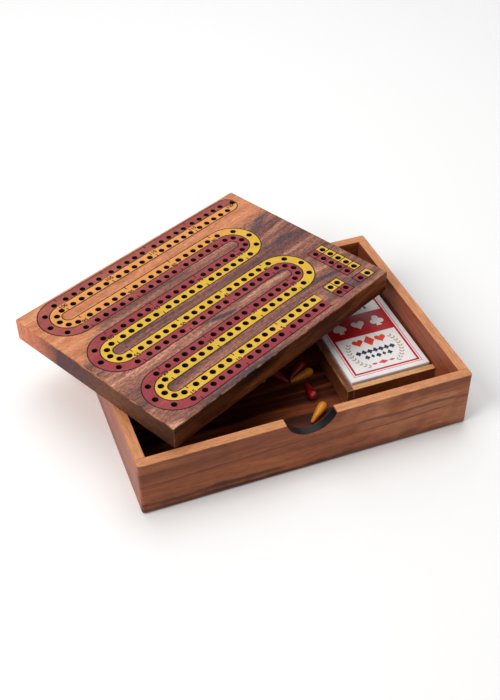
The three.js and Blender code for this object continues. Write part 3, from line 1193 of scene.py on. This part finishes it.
def add_carton():
    """The tuck box: soft folded edges, open at its far end where the flap closes it."""
    low, high = node_box("card_carton")
    bm = bmesh.new()
    outer = rounded_rectangle(low.x, low.z, high.x, high.z, CARTON_ROUND)
    wall = CARTON_BOARD
    inner = rounded_rectangle(low.x + wall, low.z + wall, high.x - wall, high.z - wall, CARTON_ROUND / 4)
    fold = CARTON_ROUND
    front = rounded_rectangle(low.x + fold, low.z + fold, high.x - fold, high.z - fold, 0.01)
    rings = [upright_ring(bm, inner, low.y + wall), upright_ring(bm, inner, high.y)]
    rings += [upright_ring(bm, outer, high.y), upright_ring(bm, outer, low.y + fold)]
    for step in range(1, FOLD_STEPS + 1):
        turn = math.pi / 2 * step / FOLD_STEPS
        part = 1 - math.cos(turn)
        eased = [(a + (c - a) * part, b + (d - b) * part) for (a, b), (c, d) in zip(outer, front)]
        rings.append(upright_ring(bm, eased, low.y + fold * (1 - math.sin(turn))))
    for first, second in zip(rings, rings[1:]):
        join_rings(bm, first, second)
    bm.faces.new(rings[0])
    bm.faces.new(rings[-1])
    mesh = finished_mesh("card_carton", bm)
    white = card_stock("carton_white", CARTON_WHITE)
    made = add_piece("carton_shell", mesh, white, "card_pack", "carton_board", "card_carton")
    made.modifiers.new("normals", "WEIGHTED_NORMAL").keep_sharp = True


def upright_ring(bm, points, y):
    return [bm.verts.new((x, y, z)) for x, z in points]


def heart(x, y, size):
    """A heart pip with its point towards the front."""
    points = []
    for i in range(HEART_STEPS):
        t = 2 * math.pi * i / HEART_STEPS
        px = 16 * math.sin(t) ** 3
        py = 13 * math.cos(t) - 5 * math.cos(2 * t) - 2 * math.cos(3 * t) - math.cos(4 * t)
        points.append((x + px * size / 32, y + py * size / 32))
    return points


def diamond(x, y, width, height):
    return [(x, y - height / 2), (x + width / 2, y), (x, y + height / 2), (x - width / 2, y)]


def stem(x, y, size, foot):
    """The flared stem of a spade or club pip, from its foot up to the pip's middle."""
    wide, slim, low = 0.20 * size, 0.04 * size, y - foot * size
    return [(x - wide, low), (x + wide, low), (x + slim, y), (x - slim, y)]


def spade(x, y, size):
    """A spade pip: a heart turned over, on a stem."""
    upper = [(2 * x - px, 2 * y - py) for px, py in heart(x, y, size)]
    return [upper, stem(x, y, size, 0.62)]


def club(x, y, size):
    """A club pip: three lobes on a stem."""
    lobes = ((-0.25, -0.10), (0.25, -0.10), (0, 0.26))
    shapes = [circle(x + dx * size, y + dy * size, 0.24 * size, 20) for dx, dy in lobes]
    return shapes + [stem(x, y, size, 0.55)]


def add_union(bm, loops, low, high):
    """A flat closed sheet over everything that a few overlapping loops cover."""
    corners = [Vector(point) for loop in loops for point in loop]
    places, _, triangles, *_ = delaunay_2d_cdt(corners, [], numbered(loops), INSIDE, 1e-6)
    layers = [[bm.verts.new((*place, z)) for place in places] for z in (low, high)]
    sides = {}
    for triangle in triangles:
        for layer in layers:
            bm.faces.new([layer[i] for i in triangle])
        for a, b in zip(triangle, [*triangle[1:], triangle[0]]):
            sides[frozenset((a, b))] = sides.get(frozenset((a, b)), 0) + 1
    for side, uses in sides.items():
        if uses == 1:
            a, b = side
            bm.faces.new((layers[0][a], layers[0][b], layers[1][b], layers[1][a]))


def leaf(x, y, angle, length, width):
    """A pointed leaf from its stalk, with its angle in degrees."""
    turn = math.radians(angle)
    points = []
    for side in (1, -1):
        for i in range(LEAF_STEPS):
            t = i / LEAF_STEPS if side == 1 else 1 - i / LEAF_STEPS
            across = side * width / 2 * math.sin(math.pi * t)
            along = t * length
            px = x + along * math.cos(turn) - across * math.sin(turn)
            py = y + along * math.sin(turn) + across * math.cos(turn)
            points.append((px, py))
    return points


def wreath(centre_x, centre_y, radius):
    """Two sprigs that curve up on either side of a centre, each a curved stalk between paired leaves."""
    regions = []
    for side in (-1, 1):
        for i in range(LEAF_PAIRS):
            angle = math.radians(FIRST_LEAF + LEAF_PITCH * i)
            x = centre_x + side * radius * math.cos(angle)
            y = centre_y + radius * math.sin(angle)
            for lean in (-LEAF_LEAN, LEAF_LEAN):
                turned = math.degrees(angle) + 90 + lean
                turned = turned if side == 1 else 180 - turned
                regions.append([leaf(x, y, turned, 3.4, 1.3)])
    return regions


def card_frame(width, length):
    """The red print: a frame round the face, joined to a broad band, with a window below it and one above."""
    red, deep = FRAME_INSET, FRAME_INSET + FRAME_LINE
    lower_window = rectangle(deep, deep, width - deep, BAND[0])
    upper_window = rectangle(deep, BAND[1], width - deep, length - deep)
    return [rectangle(red, red, width - red, length - red), lower_window, upper_window]


def thin_frame(width, length):
    """The pale line just outside the red frame."""
    edges = [FRAME_INSET - out for out in PALE_LINE]
    return [rectangle(edge, edge, width - edge, length - edge) for edge in edges]


def pip_row(kinds, middle, y, size):
    """A row of pips, spaced evenly about the middle."""
    first = middle - PIP_PITCH * (len(kinds) - 1) / 2
    return [kind(first + PIP_PITCH * i, y, size) for i, kind in enumerate(kinds)]


def small_diamond(x, y, size):
    return [diamond(x, y, 0.72 * size, size)]


# Rows of small pips: how far up the face, their size and their kinds.
PIP_ROWS = (
    (27.6, 4.6, (spade, club) * 3 + (spade,)),
    (21.4, 4.3, (club, small_diamond, spade, small_diamond, club)),
    (76.6, 4.2, (small_diamond,) * 7),
)


def add_print():
    """The carton's printed face: framed, with a broad red band, pips and two sprigs. It has no lettering."""
    low, high = node_box("card_carton")
    width, length = high.x - low.x, high.y - low.y
    middle = width / 2
    white = [spade(middle - 16, 59.4, 11), [heart(middle, 58.9, 11)], club(middle + 16, 59.4, 11.5)]
    orange = [[diamond(middle, 38.6, 9, 12)]]
    orange += [[heart(middle + side, 38.8, 9)] for side in (-9.6, 9.6)]
    rose = [[diamond(middle, 13.0, 8.5, 4.2)]]
    rose += [[diamond(middle + side, 13.0, 5.6, 2.4)] for side in (-7.2, 7.2)]
    navy = []
    for y, size, kinds in PIP_ROWS:
        navy += pip_row(kinds, middle, y, size)
    # name, ink, how many inks deep it lies, how its groups of loops are filled, and those groups
    layers = (
        ("print_white", PRINT_WHITE, 2, add_union, white),
        ("print_orange", colour(216, 58, 34), 1, add_union, orange),
        ("print_navy", colour(30, 34, 60), 1, add_union, navy),
        ("print_tan", colour(176, 152, 116), 1, add_union, wreath(middle, 28.0, 20.5)),
        ("print_rose", colour(206, 70, 76), 1, add_union, rose),
        ("print_red", colour(184, 10, 22), 1, add_sheet, [card_frame(width, length)]),
        ("print_pink", colour(222, 104, 114), 1, add_sheet, [thin_frame(width, length)]),
    )
    place = Matrix.Translation((low.x, low.y, high.z))
    for name, ink, level, fill, groups in layers:
        bm = bmesh.new()
        for loops in groups:
            fill(bm, loops, -CARTON_BOARD / 4, INK_HEIGHT * level)
        slot = "carton_board" if ink is PRINT_WHITE else "carton_print"
        add_piece(name, finished_mesh(name, bm, place), card_stock(name, ink), "card_pack", slot)


def dress_carton_insides():
    """The flap and the deck keep their CAD shapes, and take paper finishes."""
    finishes = {"carton_flap": card_stock("flap_white", CARTON_WHITE), "card_deck": deck_material()}
    for node, material in finishes.items():
        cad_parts[node].material_slots[0].material = material


def deck_material():
    """Cut edges of stacked cards: fine level lines of paper and shadow."""
    shader = Shader("card_edges")
    place = shader.add("TexCoord").outputs["Object"]
    lines = shader.noise(place, (20, 20, 4200), 2.0, 0.5)
    base = shader.ramp(lines, (0.35, 0.6), CARD_EDGES)
    shader.set(Base_Color=base, Roughness=0.6)
    shader.bump(lines, 0.3, 0.05)
    return shader.material


# ---------- stage ----------
def add_floor():
    half = FLOOR_SIZE / 2 * MM
    mesh = bpy.data.meshes.new("floor")
    corners = [(x, y, 0) for x, y in rectangle(-half, -half, half, half)]
    mesh.from_pydata(corners, [], [(0, 1, 2, 3)])
    shader = Shader("floor")
    shader.set(Base_Color=(0.93, 0.93, 0.93), Roughness=0.85, Specular_IOR_Level=0.1)
    mesh.materials.append(shader.material)
    add_object("floor", mesh)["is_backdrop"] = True


def aimed(place, target, roll=0.0):
    """The matrix of a camera or lamp at a place that looks at a target, both in millimetres."""
    place, target = Vector(place) * MM, Vector(target) * MM
    turn = (target - place).to_track_quat("-Z", "Y").to_matrix().to_4x4()
    return Matrix.Translation(place) @ turn @ Matrix.Rotation(math.radians(roll), 4, "Z")


def add_lights():
    for name, place, target, (width, height), power, tint in LIGHTS:
        data = bpy.data.lights.new(name, "AREA")
        data.shape = "RECTANGLE"
        data.size = width * MM
        data.size_y = height * MM
        data.energy = power
        data.color = tint
        add_object(name, data).matrix_world = aimed(place, target)
    world = bpy.data.worlds.new("studio")
    world.use_nodes = True
    world.node_tree.nodes["Background"].inputs[0].default_value = (1, 1, 1, 1)
    world.node_tree.nodes["Background"].inputs[1].default_value = WORLD_STRENGTH
    bpy.context.scene.world = world


def add_camera():
    data = bpy.data.cameras.new("camera")
    data.lens = CAMERA_LENS
    data.sensor_width = 36
    data.clip_end = 20
    camera = add_object("camera", data)
    camera.matrix_world = aimed(CAMERA_PLACE, CAMERA_TARGET, CAMERA_ROLL)
    bpy.context.scene.camera = camera
    bpy.context.scene.view_settings.view_transform = "Standard"


add_camera()
add_lights()
add_floor()
add_box()
add_notch_stain()
add_board_slab()
add_track()
add_marks()
add_pegs()
add_carton()
add_print()
dress_carton_insides()

boxes = {"cad": CAD_BOX, "visual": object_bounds()}
{name: [list(corner) for corner in box] for name, box in boxes.items()}
